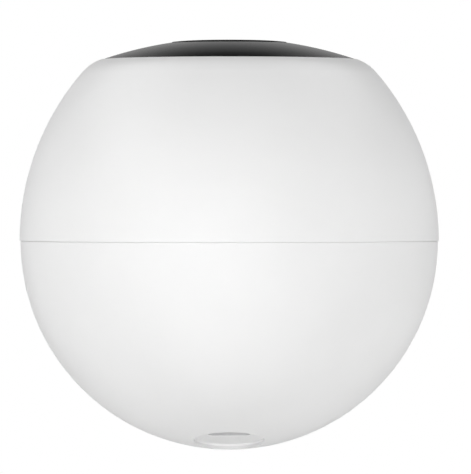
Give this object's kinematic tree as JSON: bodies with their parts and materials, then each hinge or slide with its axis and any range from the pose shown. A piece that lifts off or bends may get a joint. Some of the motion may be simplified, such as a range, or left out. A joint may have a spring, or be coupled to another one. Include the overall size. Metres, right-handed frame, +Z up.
{
  "type": "pan and tilt security camera",
  "caption": "Ball-shaped pan and tilt camera that hangs from a round threaded mounting cap, with a lens drum tilting in a front slot and a charging port underneath.",
  "frame": {"origin": "centre of the mounting pad's face, at the mouth of the threaded insert", "axes": "+Z up, out of the mounting face along the pan axis; the lens looks along -Y"},
  "size_m": [0.09, 0.0881, 0.0878],
  "materials": {
    "shell_white": "satin moulded white",
    "cap_graphite": "satin dark grey",
    "pad_rubber": "matte black",
    "insert_brass": "turned",
    "frame_black": "fine moulded black",
    "head_black": "satin black",
    "acetal_cream": "natural acetal",
    "plain_steel": "zinc plated",
    "board_green": "solder mask",
    "parts_cream": "moulded",
    "cell_sleeve": "shrink sleeve",
    "speaker_black": "black lacquer",
    "window_tint": "dark tinted, polished",
    "optic_glass": "coated"
  },
  "bodies": {
    "mount_base": {"mount_pad": "pad_rubber", "thread_insert": "insert_brass", "top_cap": "cap_graphite", "base_plate": "frame_black", "pan_gear": "acetal_cream", "base_screws": "plain_steel"},
    "ball": {"upper_shell": "shell_white", "lower_shell": "shell_white", "bearing_ring": "acetal_cream", "slot_bezel": "frame_black", "chassis_left": "frame_black", "chassis_right": "frame_black", "chassis_screws": "plain_steel", "tilt_bush_left": "acetal_cream", "tilt_bush_right": "acetal_cream", "pan_motor": "plain_steel", "tilt_motor": "plain_steel", "motor_screws": "plain_steel", "battery_cells": "cell_sleeve", "battery_holder": "frame_black", "speaker": "speaker_black", "main_board": "board_green", "shield_can": "plain_steel", "board_sockets": "parts_cream", "board_screws": "plain_steel", "wifi_antenna": "board_green", "usb_board": "board_green", "usb_socket": "plain_steel", "usb_screws": "plain_steel"},
    "pan_drive": {"pan_pinion": "acetal_cream", "pan_shaft": "plain_steel"},
    "tilt_drive": {"tilt_pinion": "acetal_cream", "tilt_shaft": "plain_steel"},
    "drum": {"drum_housing": "frame_black", "drum_cover": "frame_black", "drum_screws": "plain_steel", "tilt_gear": "acetal_cream", "lens_head": "head_black", "lens_window": "window_tint", "lens_barrel": "speaker_black", "lens_glass": "optic_glass", "lens_holder": "frame_black", "filter_case": "frame_black", "filter_coil": "frame_black", "sensor_board": "board_green", "image_sensor": "frame_black", "light_baffle": "pad_rubber", "led_board": "board_green", "infrared_leds": "optic_glass", "light_sensor": "parts_cream", "status_led": "parts_cream", "microphone": "parts_cream", "card_board": "board_green", "card_socket": "plain_steel", "reset_switch": "frame_black"},
    "filter": {"filter_slider": "frame_black", "filter_glasses": "optic_glass"},
    "button": {"reset_button": "head_black"}
  },
  "joints": [
    {"name": "pan", "type": "hinge", "parent": "mount_base", "child": "ball", "pos_m": [0, 0, -0.04303], "axis": [0, 0, 1], "range_deg": [-175, 175]},
    {"name": "tilt", "type": "hinge", "parent": "ball", "child": "drum", "pos_m": [0, 0, -0.04303], "axis": [-1, 0, 0], "range_deg": [-60, 20]},
    {"name": "pan_drive_spin", "type": "hinge", "parent": "ball", "child": "pan_drive", "pos_m": [-0.0204, 0, -0.04303], "axis": [0, 0, 1], "range_deg": [-817, 817]},
    {"name": "tilt_drive_spin", "type": "hinge", "parent": "ball", "child": "tilt_drive", "pos_m": [0, 0.0204, -0.04303], "axis": [-1, 0, 0], "range_deg": [-94, 281]},
    {"name": "filter_shift", "type": "slide", "parent": "drum", "child": "filter", "axis": [1, 0, 0], "range_m": [0, 0.0055]},
    {"name": "reset_press", "type": "slide", "parent": "drum", "child": "button", "axis": [0, 0.6428, 0.766], "range_m": [0, 0.0004], "stiffness_N_per_m": 300}
  ],
  "couplings": [
    {"joint": "pan_drive_spin", "follows": "pan", "ratio": 4.6667},
    {"joint": "tilt_drive_spin", "follows": "tilt", "ratio": -4.6667}
  ]
}
